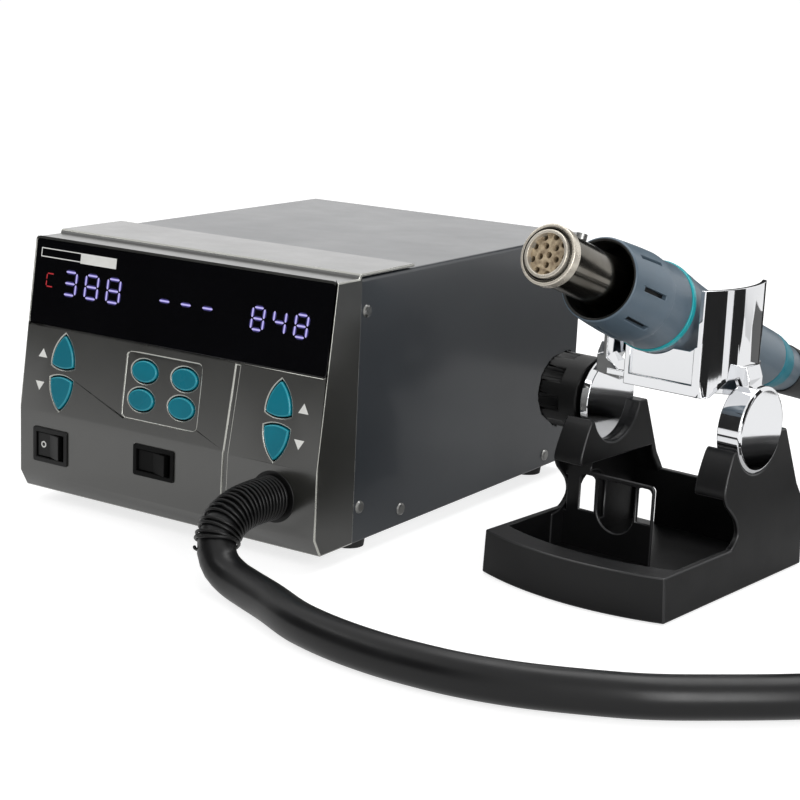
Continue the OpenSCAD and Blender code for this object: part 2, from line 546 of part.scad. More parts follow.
// opening with a round top, seen from the front
module arched(x0, x1, z0, z1, r) {
    translate([x0, z0]) square([x1 - x0, z1 - z0 - r]);
    hull() for (x = [x0 + r, x1 - r]) translate([x, z1 - r]) circle(r, $fn = 32);
}
module inner_panel() slab_y(panel_y, panel_y + panel_t) difference() {
    union() {
        translate([1, 2]) square([arm_w - 1, arm_under]);
        arched(1, 56, 2, 43, 3);
    }
    // left clear in front of the arm's waist
    translate([0, 21]) square([5.4, 17.5]);
    arched(13.4, 21.8, 23, 40.7, 2.5);
    arched(46.2, 54.3, 23.5, 40.8, 2.5);
    translate([34.3, 25.7]) circle(10.7, $fn = 64);
    translate([23.6, 25.7]) square([21.4, 14.6]);
}
module stand_base() color([0.07, 0.07, 0.075]) at_stand() difference() {
    intersection() {
        lean_envelope();
        union() {
            difference() {
                translate([0, 0, 0.6]) linear_extrude(rim_h - 0.6)
                    bowed_plan(0, stand_w, bow_r, stand_d);
                translate([0, 0, 3]) linear_extrude(rim_h)
                    bowed_plan(4, stand_w - 4, bow_r - ledge_d, stand_d - 3.5);
                // the ledge is moulded hollow, open below
                translate([0, 0, -1]) linear_extrude(rim_h - 1.5) difference() {
                    bowed_plan(22, stand_w - 22, bow_r - 2.5, 24);
                    bowed_plan(21, stand_w - 21, bow_r - ledge_d + 2.5, 25);
                }
            }
            slab_y(stand_d - 3.5, stand_d) translate([0, 2]) square([stand_w, 31]);
            arm_body();
            mirrored() arm_body();
            // bearing plate of the cradle's pivot, between the knob and the left barrel
            slab_x(plate_x, plate_x + 2.4) {
                translate(pivot) circle(15, $fn = 64);
                translate([pivot_y - 15, arm_under + 5]) square([30, 24]);
            }
            inner_panel();
            // return of the panel to the left cheek behind the waist
            block([5.4, panel_y, 20], [7, panel_y + 7, 39]);
            block([3, panel_y + 5.5, 20], [7, panel_y + 7, 39]);
        }
    }
    // openings of the left cheek and the rear wall, pivot bolt hole
    slab_x(-1, cheek_t + 0.2) union() {
        translate([73, 9]) square([25, 18]);
        translate([85.5, 23.5]) circle(12.5, $fn = 64);
    }
    slab_y(stand_d - 4.5, stand_d + 1) arched(6.5, 18, 3, 22, 2);
    rod_x(plate_x - 1, plate_x + 4, pivot_y, pivot_z, 4.2);
    for (x = [12, stand_w - 12]) for (y = [14, stand_d - 12]) translate([x, y, 0])
        cylinder(h = 1.6, r = 6.1, $fn = 48);
}
module stand_pads() color([0.1, 0.1, 0.1]) at_stand()
    for (x = [12, stand_w - 12]) for (y = [14, stand_d - 12]) translate([x, y, 0])
        cylinder(h = 1.6, r = 6, $fn = 48);

// outline of the gun's shell along its axis, used for the shell and for its rest
module gun_clearance(g) rotate_extrude($fn = 96) polygon([[0, 20], [21.4 + g, 20],
    [21.9 + g, 49.7], [21.9 + g, 53], [21 + g, 53.6], [21 + g, 60], [17 + g, 107],
    [15.6 + g, 160], [0, 160]]);

// chromed cradle: barrels, necks, curved side walls, cross frames and floor plate
module cradle_wall(y0) intersection() {
    translate([stand_w - 75.3, 81.7, 80]) difference() {
        cylinder(h = 62.3, r = 59.9, $fn = 180);
        translate([0, 0, -1]) cylinder(h = 70, r = 57.7, $fn = 180);
    }
    slab_x(stand_w - 41.7, stand_w - 1.7) polygon(y0 > 60
        ? [[y0, 142.3], [107, 142.3], [107, 100], [y0, 99]]
        : [[53, 142.3], [107, 142.3], [107, 100], [70, 99], [59, 91.5], [53, 92]]);
}
// strap from the top of a barrel to the foot of its side wall
module cradle_neck() translate([stand_w, 0, 0]) slab_y(75, 88)
    polygon([[-neck_in, 94], [-8.5, 94], [-8.5, 100], [-10.5, 105.5], [-17.2, 106],
        [-17.2, 100.5], [-neck_in, 96]]);
// barrel with a bevelled rim round its outer face
module cradle_barrel() translate([stand_w - 14.7, pivot_y, pivot_z]) rotate([0, 90, 0])
    rotate_extrude($fn = 96) polygon([[0, 0], [barrel_r, 0], [barrel_r, barrel_w - 1],
        [barrel_r - 1.5, barrel_w], [0, barrel_w]]);
module cradle() color([0.8, 0.81, 0.83]) at_stand() difference() {
    union() {
        cradle_barrel();
        rod_x(barrel_x, 14.7, pivot_y, pivot_z, barrel_r);
        cradle_neck();
        mirrored() cradle_neck();
        cradle_wall(53);
        mirrored() cradle_wall(66);
        slab_y(53, 58) polygon([[38, 92], [stand_w - 20.5, 92], [stand_w - 22.4, 100],
            [stand_w - 22.4, 118], [stand_w - 29.7, 113], [38, 113]]);
        slab_y(102, 107) polygon([[20.2, 84], [stand_w - 20.2, 84], [stand_w - 20.2, 103],
            [20.2, 103]]);
        slab_x(27, stand_w - 28.7) polygon([[55, 97.5], [104, 87], [104, 84], [55, 94.5]]);
        slab_y(66, 78) polygon([[14, 92], [28, 90], [28, 94], [18, 101], [14, 101]]);
    }
    in_gun() gun_clearance(0.05);
    block([41, 52, 97.5], [stand_w - 26.7, 54.5, 120]);
    rod_x(barrel_x - 1, 13.2, pivot_y, pivot_z, 4.1);
}

// stud in the left barrel's blind bore, with the knob on its outer end
module clamp_bolt() color([0.7, 0.7, 0.72]) at_stand() rod_x(knob_l + 4, 13.2, pivot_y, pivot_z, 4);
module pivot_washer() color([0.7, 0.7, 0.72]) at_stand() difference() {
    rod_x(washer_x, plate_x, pivot_y, pivot_z, 9);
    rod_x(washer_x - 2, plate_x + 2, pivot_y, pivot_z, 4.2);
}
// knob with eight broad shallow flutes and a smooth collar towards the stand
module tilt_knob() color([0.03, 0.03, 0.03]) at_stand() difference() {
    union() {
        translate([knob_l, pivot_y, pivot_z]) rotate([0, 90, 0]) rotate_extrude($fn = 96)
            polygon([[0, 0], [17.6, 0], [19, 1.4], [19, 22.8], [18.4, 23.4], [0, 23.4]]);
        rod_x(knob_l + 20, washer_x, pivot_y, pivot_z, 12);
    }
    translate([knob_l, pivot_y, pivot_z]) rotate([0, 90, 0]) for (k = [0:7])
        rotate(k*45 + 10) translate([25.4, 0, -1]) cylinder(h = 13.5, r = 8, $fn = 48);
    rod_x(knob_l + 4, washer_x + 2, pivot_y, pivot_z, 4.05);
}

// gun, from the outlet to the tail
module outlet_collar() color([0.72, 0.7, 0.66]) at_gun() rotate_extrude($fn = 72)
    polygon([[tube_r + 0.02, -tube_out], [tube_r + 1, -tube_out],
        [tube_r + 1.4, 0.4 - tube_out], [tube_r + 1.4, 5 - tube_out],
        [tube_r + 0.02, 5 - tube_out]]);
module heater_tube() color([0.7, 0.68, 0.64]) at_gun() difference() {
    rotate_extrude($fn = 72) polygon([[tube_r - 0.8, -tube_out], [tube_r, -tube_out],
        [tube_r, 46], [tube_r - 0.8, 46]]);
    translate([0, 0, -22]) rotate([90, 0, 0]) cylinder(h = 20, r = 1.4, $fn = 24);
}
module tube_clamp_screw() color([0.5, 0.5, 0.5]) at_gun() translate([0, 0.95 - tube_r, -22])
    rotate([90, 0, 0]) {
        cylinder(h = 2, r = 1.3, $fn = 24);
        translate([0, 0, 1]) cylinder(h = 2.6, r = 2.6, $fn = 32);
    }
module heater_core() color([0.8, 0.76, 0.66]) at_gun() difference() {
    translate([0, 0, 1.2 - tube_out]) cylinder(h = 80, r = tube_r - 1, $fn = 64);
    for (k = [0:8]) rotate([0, 0, k*40]) translate([8.3, 0, -60]) cylinder(h = 120, r = 1.4, $fn = 20);
    for (k = [0:4]) rotate([0, 0, k*72 + 20]) translate([4.4, 0, -60]) cylinder(h = 120, r = 1.4, $fn = 20);
    translate([0, 0, -60]) cylinder(h = 120, r = 1.4, $fn = 20);
}
module heater_mount() color([0.85, 0.83, 0.78]) at_gun() rotate_extrude($fn = 72)
    polygon([[tube_r + 0.02, 41], [15, 41], [15, 43], [16.55, 43], [16.55, 46],
        [tube_r + 0.02, 46]]);
module guard_shell() color([0.35, 0.4, 0.45]) at_gun() difference() {
    rotate_extrude($fn = 96) polygon([[17.6, 0.6], [18, 0], [19.2, 0], [19.7, 0.7],
        [20.5, 10], [21.2, 20], [21.6, 29], [21.4, 32.6], [20.8, 33.4], [20.9, 41],
        [21.3, 49.6], [19.15, 49.6], [19.15, 39.5], [18.6, 39.5], [18.6, 20]]);
    for (k = [0:7]) rotate([0, 0, k*45 - 1]) block([15, -1.1, 7.5], [24, 1.1, 25.2]);
}
module accent_ring() color([0.1, 0.6, 0.62]) at_gun() rotate_extrude($fn = 96)
    polygon([[19.15, 49.7], [21.6, 49.7], [21.9, 50.2], [21.9, 52.6], [21.6, 52.95],
        [19.15, 52.95]]);
module handle_shell() color([0.35, 0.4, 0.45]) at_gun() rotate_extrude($fn = 96)
    polygon([[16.6, 40], [19.1, 40], [19.1, 53], [20.9, 53], [21, 53.6], [21, 60],
        [20.1, 66], [19.1, 76], [18.1, 88], [17, 107], [16.2, 130], [15.6, 152],
        [15.3, 165.9], [12.6, 165.9], [12.3, 192], [10.6, 192], [10.6, 168], [13, 160],
        [14.6, 107], [16.6, 62]]);
module grip_band() color([0.06, 0.33, 0.36]) at_gun() rotate_extrude($fn = 96)
    polygon([[12.65, 166], [15.2, 166], [15.1, 170], [14.2, 176], [13.2, 180],
        [12.65, 180]]);
module tail_boot() color([0.03, 0.03, 0.03]) at_gun() rotate_extrude($fn = 72)
    polygon([[8.6, 184], [10.5, 184], [10.5, 192.05], [13, 192.05], [12.8, 200],
        [11.6, 215], [boot_end_r, boot_end], [hose_r + 0.2, boot_end], [hose_r + 0.2, 198],
        [8.6, 198]]);
module air_tube() color([0.75, 0.75, 0.76]) at_gun() rotate_extrude($fn = 64)
    polygon([[7.5, 46.05], [14, 46.05], [14, 47.5], [8.5, 47.5], [8.5, 197.95],
        [7.5, 197.95]]);

front_bezel();
display_window();
display_modules();
control_board();
temp_up_key();
temp_down_key();
air_up_key();
air_down_key();
channel_1_key();
channel_2_key();
channel_3_key();
channel_4_key();
power_switch_frame();
power_rocker();
set_switch_frame();
set_rocker();
top_cover();
base_chassis();
rear_panel();
mains_inlet();
rubber_feet();
cover_screws();
blower_housing();
blower_cover();
blower_impeller();
blower_motor();
air_duct();
power_board();
transformer();
hose_gland();
bend_spring();
hose_main();
hose_tail();
stand_base();
stand_pads();
cradle();
clamp_bolt();
pivot_washer();
tilt_knob();
outlet_collar();
heater_tube();
tube_clamp_screw();
heater_core();
heater_mount();
guard_shell();
accent_ring();
handle_shell();
grip_band();
tail_boot();
air_tube();
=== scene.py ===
"""Hot air rework station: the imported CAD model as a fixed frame, dressed for a picture.

Everything is in metres in the model's own frame. Numbers below are millimetres, and one
function turns a place on the station, the stand or the gun into that frame.
"""
import math

import bmesh
import bpy
import numpy as np
from mathutils import Matrix, Vector


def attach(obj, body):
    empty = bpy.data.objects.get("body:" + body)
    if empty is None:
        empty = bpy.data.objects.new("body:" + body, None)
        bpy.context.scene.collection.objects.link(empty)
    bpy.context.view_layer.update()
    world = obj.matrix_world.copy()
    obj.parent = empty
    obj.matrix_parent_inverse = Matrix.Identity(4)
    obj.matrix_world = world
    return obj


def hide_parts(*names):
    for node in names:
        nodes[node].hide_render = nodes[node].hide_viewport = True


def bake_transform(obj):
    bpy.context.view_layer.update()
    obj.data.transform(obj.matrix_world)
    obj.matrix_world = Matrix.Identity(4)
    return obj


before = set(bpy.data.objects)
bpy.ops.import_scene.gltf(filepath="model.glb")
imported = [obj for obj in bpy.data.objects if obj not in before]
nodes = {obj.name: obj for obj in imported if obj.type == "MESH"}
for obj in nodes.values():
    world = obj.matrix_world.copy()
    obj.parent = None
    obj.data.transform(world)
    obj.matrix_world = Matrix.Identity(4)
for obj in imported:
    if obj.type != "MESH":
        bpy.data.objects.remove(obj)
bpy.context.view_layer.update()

# places, as the construction has them: the stand's turn on the ground and its near left corner,
# width and depth
TURN = math.radians(6.32)
CT, ST = math.cos(TURN), math.sin(TURN)
STAND_X, STAND_Y, STAND_W, STAND_D = 152.7, 56.9, 101.7, 128.0
# the gun's pitch, the middle of its guard mouth, its boot's end along the axis and radius there
PITCH = math.radians(20)
CG, SG = math.cos(PITCH), math.sin(PITCH)
MOUTH_Y, MOUTH_Z, BOOT_END, BOOT_R = 6.2, 148.8, 228.0, 10.6
# the lean of the front's upper face, the height of the feet, and of the ridge above them
LEAN = math.radians(7.93)
FOOT, RIDGE = 8.0, 42.0
# the set rocker's resting angle, its pivot behind the front, its half width and its wing's rise
WING = math.radians(9)
PIVOT_Y, WING_HALF, WING_RISE = 4.0, 9.6, 5.3
# the footprint of everything but the hose, from the left screws to the stand's far corner and
# from the rocker's wing to the boot's end: its middle is the model's origin
X_LOW = -95.2
X_HIGH = STAND_X + STAND_W * CT + STAND_D * ST
Y_LOW = PIVOT_Y - WING_HALF * math.sin(WING) - WING_RISE * math.cos(WING)
Y_HIGH = (STAND_Y - STAND_W / 2 * ST + (MOUTH_Y + BOOT_END * CG) * CT
          + BOOT_R * math.hypot(ST, SG * CT))
MIDDLE = np.array([(X_LOW + X_HIGH) / 2, (Y_LOW + Y_HIGH) / 2, 0.0])


def ground(points):
    """Points measured from the station's front middle on the ground, in the model's metres."""
    return (np.asarray(points, float) - MIDDLE) / 1000


def stand(points):
    """Points of the stand's own frame, turned by its angle and moved to its corner."""
    p = np.asarray(points, float)
    x = STAND_X + p[..., 0] * CT + p[..., 1] * ST
    y = STAND_Y - p[..., 0] * ST + p[..., 1] * CT
    return ground(np.stack([x, y, p[..., 2]], -1))


def gun(points):
    """Points (right, up, back along the axis) of the gun, from the middle of its guard mouth."""
    p = np.asarray(points, float)
    y = MOUTH_Y + p[..., 2] * CG + p[..., 1] * SG
    z = MOUTH_Z - p[..., 2] * SG + p[..., 1] * CG
    return stand(np.stack([STAND_W / 2 + p[..., 0], y, z], -1))


def panel(points):
    """Points (across, up the upper front face, out of it) of the leaning face."""
    p = np.asarray(points, float)
    y = p[..., 1] * math.sin(LEAN) - p[..., 2] * math.cos(LEAN)
    z = RIDGE + FOOT + p[..., 1] * math.cos(LEAN) + p[..., 2] * math.sin(LEAN)
    return ground(np.stack([p[..., 0], y, z], -1))


def front(points):
    """Points (across, up, out) of the upright lower front face."""
    p = np.asarray(points, float)
    return ground(np.stack([p[..., 0], -p[..., 2], p[..., 1] + FOOT], -1))


# camera: the place, the turn (azimuth, height angle, roll) and the focal length in picture
# points that the photograph was fitted with
CAMERA_AT = (578.638, -686.603, 284.2)
CAMERA_TURN = (32.6625, 13.2317, 2.5525)
FOCAL_POINTS, PICTURE_POINTS, SENSOR_MM = 1876.46, 800, 36


def aim_camera():
    """The photograph's camera: its axes from azimuth and height angle, then rolled."""
    az, el, roll = (math.radians(turn) for turn in CAMERA_TURN)
    ahead = Vector((-math.sin(az) * math.cos(el), math.cos(az) * math.cos(el), -math.sin(el)))
    right = Vector((math.cos(az), math.sin(az), 0))
    up = right.cross(ahead)
    r2 = right * math.cos(roll) + up * math.sin(roll)
    u2 = up * math.cos(roll) - right * math.sin(roll)
    data = bpy.data.cameras.new("photo_camera")
    data.sensor_fit = "HORIZONTAL"
    data.sensor_width = SENSOR_MM
    data.lens = FOCAL_POINTS / PICTURE_POINTS * SENSOR_MM
    data.clip_end = 100
    cam = bpy.data.objects.new("photo_camera", data)
    bpy.context.collection.objects.link(cam)
    turn = Matrix((r2, u2, -ahead)).transposed().to_4x4()
    cam.matrix_world = Matrix.Translation(ground(CAMERA_AT)) @ turn
    bpy.context.scene.camera = cam


# share of a side or of a face that one rounded corner or edge takes at most, so that two fit
NEAR_HALF = 0.45
# the same share where the other edge is an inner one and takes nothing
NEAR_WHOLE = 0.85
# a width in metres that stands for no limit
NO_LIMIT = 1e9


# small building functions
def add_piece(name, verts, faces, smooth=True):
    """A mesh object at the origin from arrays of points and faces."""
    mesh = bpy.data.meshes.new(name)
    mesh.from_pydata([tuple(v) for v in verts], [], faces)
    mesh.validate()
    mesh.update()
    if smooth:
        mesh.shade_smooth()
    obj = bpy.data.objects.new(name, mesh)
    bpy.context.collection.objects.link(obj)
    return obj


def grid_faces(rows, cols):
    """Quads between the rows of a grid of points, each row closed into a ring."""
    i = np.arange(rows - 1)[:, None]
    j = np.arange(cols)[None, :]
    k = (j + 1) % cols
    quads = np.stack([i * cols + j, i * cols + k, (i + 1) * cols + k, (i + 1) * cols + j], -1)
    return quads.reshape(-1, 4).tolist()


def revolved(name, profile, sides, place=gun):
    """A turned form: each point (radius, s) of a closed profile carried round the axis in
    equal steps."""
    pr = np.asarray(profile, float)
    a = np.linspace(0, 2 * math.pi, sides, endpoint=False)
    pts = np.stack([pr[:, :1] * np.cos(a), pr[:, :1] * np.sin(a),
                    np.repeat(pr[:, 1:2], sides, 1)], -1)
    pts = np.concatenate([pts, pts[:1]])
    obj = add_piece(name, place(pts).reshape(-1, 3), grid_faces(len(pts), sides))
    mesh_outwards(obj)
    return obj


def mesh_outwards(obj):
    """Merged doubles and faces turned to point outwards."""
    bm = bmesh.new()
    bm.from_mesh(obj.data)
    bmesh.ops.remove_doubles(bm, verts=bm.verts, dist=1e-6)
    bmesh.ops.recalc_face_normals(bm, faces=bm.faces)
    bm.to_mesh(obj.data)
    bm.free()


def rounded_profile(points, radius):
    """A closed profile whose corners are rounded: each corner becomes a quadratic arc of four
    points that leaves and joins its two sides at the radius, or at 0.45 of the shorter side."""
    p = np.asarray(points, float)
    out = []
    for i in range(len(p)):
        a, b, c = p[i - 1], p[i], p[(i + 1) % len(p)]
        ta, tc = a - b, c - b
        la, lc = np.linalg.norm(ta), np.linalg.norm(tc)
        r = min(radius, NEAR_HALF * la, NEAR_HALF * lc)
        s, e = b + ta / la * r, b + tc / lc * r
        for t in np.linspace(0, 1, 4):
            out.append((1 - t) ** 2 * s + 2 * t * (1 - t) * b + t * t * e)
    return np.array(out)


def smooth_path(points, per):
    """A curve through route points by the Catmull-Rom formula, in per steps for each stretch."""
    p = np.asarray(points, float)
    q = np.concatenate([[2 * p[0] - p[1]], p, [2 * p[-1] - p[-2]]])
    t = np.linspace(0, 1, per, endpoint=False)[:, None]
    out = []
    for i in range(len(p) - 1):
        a, b, c, d = q[i:i + 4]
        out.append(0.5 * (2 * b + (c - a) * t + (2 * a - 5 * b + 4 * c - d) * t ** 2
                          + (3 * b - a - 3 * c + d) * t ** 3))
    return np.concatenate(out + [p[-1:]])


def run_along(path):
    """The length of the path up to each of its points."""
    return np.concatenate([[0], np.cumsum(np.linalg.norm(np.diff(path, axis=0), axis=1))])


def even_path(path, step):
    """The same path cut into equal steps of about that length, and its whole length."""
    run = run_along(path)
    n = max(2, int(round(run[-1] / step)) + 1)
    at = np.linspace(0, run[-1], n)
    return np.stack([np.interp(at, run, path[:, k]) for k in range(3)], -1), run[-1]


def unit(rows):
    """Each row divided by its length."""
    return rows / np.linalg.norm(rows, axis=1)[:, None]


def path_frames(path):
    """Side and lift at each point: the side is level, at right angles to the heading, and the
    lift at right angles to both."""
    heading = unit(np.gradient(path, axis=0))
    side = unit(np.cross(heading, [0, 0, 1.0]))
    return side, np.cross(side, heading)


def rings_along(path, side, lift, radius, sides):
    """A circle round each point of the path: radius * (side * cos a + lift * sin a)."""
    a = np.linspace(0, 2 * math.pi, sides, endpoint=False)
    ring = side[:, None] * np.cos(a)[None, :, None] + lift[:, None] * np.sin(a)[None, :, None]
    return path[:, None] + radius * ring


def tube(name, path, radius, sides=40):
    """A round tube along the path, with both ends closed by a fan."""
    n = len(path)
    pts = rings_along(path, *path_frames(path), radius, sides)
    verts = np.concatenate([pts.reshape(-1, 3), path[:1], path[-1:]])
    faces = grid_faces(n, sides)
    k = np.arange(sides)
    m = (k + 1) % sides
    faces += np.stack([m, k, np.full(sides, n * sides)], -1).tolist()
    faces += np.stack([(n - 1) * sides + k, (n - 1) * sides + m,
                       np.full(sides, n * sides + 1)], -1).tolist()
    obj = add_piece(name, verts, faces)
    mesh_outwards(obj)
    return obj


def edge_shares(bm, width, angle):
    """The share of the bevel width that each outer edge can take: edges that lie beside one
    another on a face split the room between them, and inner edges take none. The room is the
    distance from an edge's ends to the other edges, where they stand beside their length."""
    sharp = {e for e in bm.edges if len(e.link_faces) == 2 and e.calc_face_angle(0) > angle}
    room = {e: NO_LIMIT for e in sharp if e.is_convex}
    for f in bm.faces:
        es = [e for e in f.edges if e in sharp]
        if len(es) < 2:
            continue
        a = np.array([e.verts[0].co for e in es])
        d = np.array([e.verts[1].co for e in es]) - a
        size = np.maximum((d ** 2).sum(1), 1e-18)
        split = np.array([NEAR_HALF if e in room else NEAR_WHOLE for e in es])
        near = np.full((len(es), len(es)), NO_LIMIT)
        for p in (a, a + d):
            w = p[:, None] - a[None]
            s = (w * d).sum(-1) / size
            gap = np.linalg.norm(w - s[..., None] * d, axis=-1)
            near = np.minimum(near, np.where((s > 0.02) & (s < 0.98), gap, NO_LIMIT))
        near = np.minimum(near, near.T) * split
        np.fill_diagonal(near, NO_LIMIT)
        for e, r in zip(es, near.min(1)):
            if e in room:
                room[e] = min(room[e], r)
    return {e: min(1.0, r * 1000 / width) for e, r in room.items()}


def softened(name, node, width, body, angle=32, segments=2):
    """A rounded copy of a CAD node: its flat faces are joined up again, its outer edges
    bevelled as far as each has room."""
    mesh = nodes[node].data.copy()
    mesh.name = name
    bm = bmesh.new()
    bm.from_mesh(mesh)
    bmesh.ops.remove_doubles(bm, verts=bm.verts, dist=2e-6)
    bmesh.ops.dissolve_limit(bm, angle_limit=math.radians(0.6), use_dissolve_boundaries=False,
                             verts=bm.verts, edges=bm.edges)
    share = bm.edges.layers.float.new("bevel_weight_edge")
    for e, value in edge_shares(bm, width, math.radians(angle)).items():
        e[share] = value
    bm.to_mesh(mesh)
    bm.free()
    mesh.shade_smooth()
    mesh.set_sharp_from_angle(angle=math.radians(angle))
    obj = bpy.data.objects.new(name, mesh)
    bpy.context.collection.objects.link(obj)
    edge = obj.modifiers.new("rounded edges", "BEVEL")
    edge.width = width / 1000
    edge.segments = segments
    edge.limit_method = "WEIGHT"
    edge.use_clamp_overlap = False
    edge.loop_slide = False
    edge.face_strength_mode = "FSTR_ALL"
    even = obj.modifiers.new("even shading", "WEIGHTED_NORMAL")
    even.keep_sharp = True
    even.use_face_influence = True
    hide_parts(node)
    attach(obj, body)
    return obj


def prism(name, outline, place, low, high):
    """A flat-sided piece: an outline in the place's plane, raised from low to high."""
    o = np.asarray(outline, float)
    n = len(o)
    verts = np.concatenate([np.column_stack([o, np.full(n, low)]),
                            np.column_stack([o, np.full(n, high)])])
    k = np.arange(n)
    m = (k + 1) % n
    faces = np.stack([k, m, m + n, k + n], -1).tolist()
    faces += [list(range(n))[::-1], list(range(n, 2 * n))]
    obj = add_piece(name, place(verts), faces, smooth=False)
    mesh_outwards(obj)
    return obj


def joined(name, parts):
    """Several mesh pieces made one, without operators."""
    bm = bmesh.new()
    for p in parts:
        bm.from_mesh(p.data)
    mesh = bpy.data.meshes.new(name)
    bm.to_mesh(mesh)
    bm.free()
    for p in parts:
        bpy.data.objects.remove(p)
    obj = bpy.data.objects.new(name, mesh)
    bpy.context.collection.objects.link(obj)
    return obj


# finishes
def linear(code):
    """An sRGB hex colour as linear numbers."""
    v = [int(code[i:i + 2], 16) / 255 for i in (0, 2, 4)]
    return [c / 12.92 if c <= 0.04045 else ((c + 0.055) / 1.055) ** 2.4 for c in v] + [1.0]


def add_node(tree, kind, settings=None, **inputs):
    """One node with its settings and its inputs: a value is set, a socket is linked. An input
    is called by its name, with _ for a blank, or by i and its number."""
    n = tree.nodes.new(kind)
    for key, value in (settings or {}).items():
        setattr(n, key, value)
    for key, value in inputs.items():
        by_number = key[0] == "i" and key[1:].isdigit()
        sock = n.inputs[int(key[1:]) if by_number else key.replace("_", " ")]
        if isinstance(value, bpy.types.NodeSocket):
            tree.links.new(value, sock)
        else:
            sock.default_value = value
    return n


def clear_tree(owner, output):
    """An empty node tree of a material or a world, with its output node."""
    owner.use_nodes = True
    tree = owner.node_tree
    tree.nodes.clear()
    return tree, add_node(tree, output)


def finish_of(name, colour, rough, metal=0.0, grain=0.0, depth=0.0, cloud=0.06, cloud_mm=30,
              rough_spread=0.06, ior=1.5, coat=0.0, coat_rough=0.08, coat_ior=1.5, second=None,
              bands=()):
    """A finish: base colour with a slow cloud of a second colour, roughness that wanders by
    the spread, and a fine grain of the given size and depth in millimetres as bump. Bands are
    colours between two distances from the gun's axis. Coat is a clear layer over it all."""
    mat = bpy.data.materials.new(name)
    t, out = clear_tree(mat, "ShaderNodeOutputMaterial")
    where = add_node(t, "ShaderNodeTexCoord").outputs["Object"]
    slow = add_node(t, "ShaderNodeTexNoise", Vector=where, Scale=1000 / cloud_mm, Detail=4.0,
                    Roughness=0.6)
    base = linear(colour)
    other = linear(second) if second else [min(1, c * (1 + cloud * 4)) for c in base[:3]] + [1]
    share = add_node(t, "ShaderNodeMapRange", Value=slow.outputs["Fac"],
                     **{"i1": 0.35, "i2": 0.75, "i3": 0.0, "i4": 1.0})
    mix = add_node(t, "ShaderNodeMix", {"data_type": "RGBA"}, i0=share.outputs[0], i6=base,
                   i7=other)
    if bands:
        arm = add_node(t, "ShaderNodeVectorMath", {"operation": "SUBTRACT"}, i0=where,
                       i1=gun([0, 0, 0]))
        arm = add_node(t, "ShaderNodeVectorMath", {"operation": "CROSS_PRODUCT"},
                       i0=arm.outputs[0], i1=(gun([0, 0, 1]) - gun([0, 0, 0])) * 1000)
        far = add_node(t, "ShaderNodeVectorMath", {"operation": "LENGTH"}, i0=arm.outputs[0])
        for low, high, code in bands:
            within = add_node(t, "ShaderNodeMath", {"operation": "COMPARE"},
                              i0=far.outputs["Value"], i1=(low + high) / 2000,
                              i2=(high - low) / 2000)
            mix = add_node(t, "ShaderNodeMix", {"data_type": "RGBA"}, i0=within.outputs[0],
                           i6=mix.outputs[2], i7=linear(code))
    wander = add_node(t, "ShaderNodeMapRange", Value=slow.outputs["Fac"],
                      **{"i1": 0.3, "i2": 0.7, "i3": max(0.02, rough - rough_spread),
                         "i4": min(1, rough + rough_spread)})
    bsdf = add_node(t, "ShaderNodeBsdfPrincipled", Base_Color=mix.outputs[2],
                    Roughness=wander.outputs[0], Metallic=metal)
    if not metal:
        bsdf.inputs["IOR"].default_value = ior
    if coat:
        bsdf.inputs["Coat Weight"].default_value = coat
        bsdf.inputs["Coat Roughness"].default_value = coat_rough
        bsdf.inputs["Coat IOR"].default_value = coat_ior
    if grain:
        fine = add_node(t, "ShaderNodeTexNoise", Vector=where, Scale=1000 / grain, Detail=2.0,
                        Roughness=0.55)
        bump = add_node(t, "ShaderNodeBump", Height=fine.outputs["Fac"], Strength=1.0,
                        Distance=depth / 1000)
        t.links.new(bump.outputs[0], bsdf.inputs["Normal"])
    t.links.new(bsdf.outputs[0], out.inputs[0])
    return mat


def glow_of(name, colour):
    """Light from a lamp behind a printed mask, the same over the whole segment."""
    mat = bpy.data.materials.new(name)
    mat.use_nodes = True
    b = mat.node_tree.nodes["Principled BSDF"]
    b.inputs["Base Color"].default_value = (0.01, 0.01, 0.01, 1)
    b.inputs["Emission Color"].default_value = linear(colour)
    b.inputs["Emission Strength"].default_value = 1.0
    return mat


def paint(obj, mat):
    """The finish on every face of a piece or of a carried-over node."""
    obj.data.materials.clear()
    obj.data.materials.append(mat)
    return obj


def with_edge_highlight(obj, mat, rim):
    """One finish on a softened part's faces and a painted highlight on its rounded edges."""
    paint(obj, mat).data.materials.append(rim)
    obj.modifiers[0].material = 1
    return obj


# ABS moulding with metallic grey paint: dark where it mirrors the dark front; its edges get a
# painted highlight
bezel_abs = finish_of("metallic grey painted abs", "353532", 0.34, grain=0.5, depth=0.008,
                      metal=0.5, cloud=0.03, coat=1.0, coat_rough=0.22, coat_ior=1.65)
# the same moulding's rounded edges in near-white metallic grey: a painted highlight where light
# would catch them
bezel_edge_highlight = finish_of("painted highlight on the abs edges", "a6a6a0", 0.25, metal=0.8, coat=0.6,
                      coat_rough=0.1)
# stove-enamelled sheet steel: near black blue grey, whose sheen turns the top pale at a low angle
cover_paint = finish_of("dark enamelled steel", "272b30", 0.36, grain=0.9, depth=0.006,
                        cloud=0.03, cloud_mm=60, coat=0.5, coat_rough=0.12)
# back-printed acrylic window: deep black, mirror smooth
window_acrylic = finish_of("black acrylic window", "050507", 0.07, rough_spread=0.02, ior=1.49)
# two-shot ABS key, lightly polished: teal with a small sharp highlight
key_abs = finish_of("teal moulded abs key", "0c7486", 0.26, grain=0.4,
                    depth=0.004, second="096778", ior=1.3)
# its rounded edge in a paler teal: a painted highlight
key_edge_highlight = finish_of("painted highlight on a teal key's edge", "2397a8", 0.2, second="1f8c9d")
# zinc-plated sheet: grey with a slow spangle
zinc = finish_of("zinc plated sheet", "a4a6a8", 0.38, metal=1.0, cloud_mm=8)
